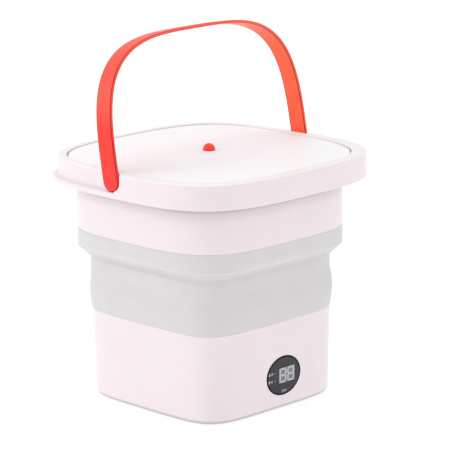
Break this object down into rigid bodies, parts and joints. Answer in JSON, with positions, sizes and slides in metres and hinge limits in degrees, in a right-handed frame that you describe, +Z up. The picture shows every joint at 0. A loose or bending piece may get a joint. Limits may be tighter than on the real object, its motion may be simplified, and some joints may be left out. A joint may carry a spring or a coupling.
{
  "type": "portable mini washer",
  "caption": "Collapsible square-round washing bucket with a soft bellows wall, geared pulsator base, lift-off lid and a swinging strap handle.",
  "frame": {"origin": "centre of the surface it stands on", "axes": "+Z up, -Y towards the display, +X to the right seen from the display side"},
  "size_m": [0.3, 0.3, 0.4169],
  "materials": {
    "pink_plastic": "glossy injection-moulded plastic, faint warm pink white",
    "lid_plastic": "glossy white plastic, slightly cool",
    "grey_silicone": "matte soft silicone",
    "red_plastic": "glossy coral red plastic",
    "display_lens": "glossy smoked window",
    "display_body": "dark moulded plastic",
    "white_plastic": "satin white moulded plastic",
    "nylon": "unfilled nylon, satin",
    "black_rubber": "matte rubber",
    "black_plastic": "satin black plastic",
    "steel": "zinc-plated steel",
    "bronze": "sintered bronze",
    "magnet": "sintered ferrite",
    "copper": "enamelled copper winding on laminated core",
    "board": "glass-epoxy board with solder mask",
    "led": "clear lens",
    "lead_red": "vinyl insulation",
    "lead_black": "vinyl insulation"
  },
  "bodies": {
    "base": {"lower_casing": "pink_plastic", "inner_tub": "pink_plastic", "bottom_cover": "white_plastic", "rubber_feet": "black_rubber", "cover_screws": "steel", "lower_clamp_ring": "white_plastic", "bellows": "grey_silicone", "gearbox_housing": "white_plastic", "gearbox_cover": "white_plastic", "gearbox_screws": "steel", "motor_can": "steel", "motor_end_cap": "black_plastic", "motor_magnets": "magnet", "motor_screws": "steel", "idler_pin": "steel", "lower_bush": "bronze", "upper_bush": "bronze", "shaft_seal": "black_rubber", "display_lens": "display_lens", "display_module": "display_body", "control_board": "board", "indicator_leds": "led", "touch_spring": "steel", "board_screws": "steel", "power_inlet": "black_plastic", "inlet_nut": "steel", "drain_spout": "pink_plastic", "drain_gasket": "black_rubber", "motor_lead": "lead_red", "inlet_lead": "lead_black"},
    "upper": {"upper_collar": "pink_plastic", "upper_clamp_ring": "white_plastic", "rim_frame": "pink_plastic", "rim_screws": "steel"},
    "lid": {"lid_panel": "lid_plastic", "lid_seal": "grey_silicone", "lid_knob": "red_plastic", "knob_screw": "steel"},
    "handle": {"handle_strap": "red_plastic"},
    "agitator": {"pulsator": "white_plastic", "pulsator_cap": "grey_silicone", "pulsator_screw": "steel", "output_shaft": "steel", "output_gear": "nylon"},
    "compound": {"compound_gear": "nylon"},
    "rotor": {"motor_pinion": "bronze", "motor_shaft": "steel", "armature": "copper"},
    "plug": {"drain_plug": "grey_silicone"}
  },
  "joints": [
    {"name": "collapse", "type": "slide", "parent": "base", "child": "upper", "axis": [0, 0, 1], "range_m": [-0.088, 0], "deforming": ["bellows"]},
    {"name": "lid_lift", "type": "slide", "parent": "upper", "child": "lid", "axis": [0, 0, 1], "range_m": [0, 0.06]},
    {"name": "handle_swing", "type": "hinge", "parent": "upper", "child": "handle", "pos_m": [0, 0, 0.267], "axis": [-1, 0, 0], "range_deg": [-12, 80]},
    {"name": "pulsator_spin", "type": "hinge", "parent": "base", "child": "agitator", "pos_m": [0, 0, 0.075], "axis": [0, 0, 1], "continuous": true},
    {"name": "compound_spin", "type": "hinge", "parent": "base", "child": "compound", "pos_m": [0.031, 0, 0.05], "axis": [0, 0, 1], "continuous": true},
    {"name": "rotor_spin", "type": "hinge", "parent": "base", "child": "rotor", "pos_m": [0.044, 0.02252, 0.03], "axis": [0, 0, 1], "continuous": true},
    {"name": "plug_pull", "type": "slide", "parent": "base", "child": "plug", "axis": [0, 1, 0], "range_m": [0, 0.03]}
  ],
  "couplings": [
    {"joint": "compound_spin", "follows": "pulsator_spin", "ratio": -3.4286},
    {"joint": "rotor_spin", "follows": "pulsator_spin", "ratio": 11.429}
  ]
}
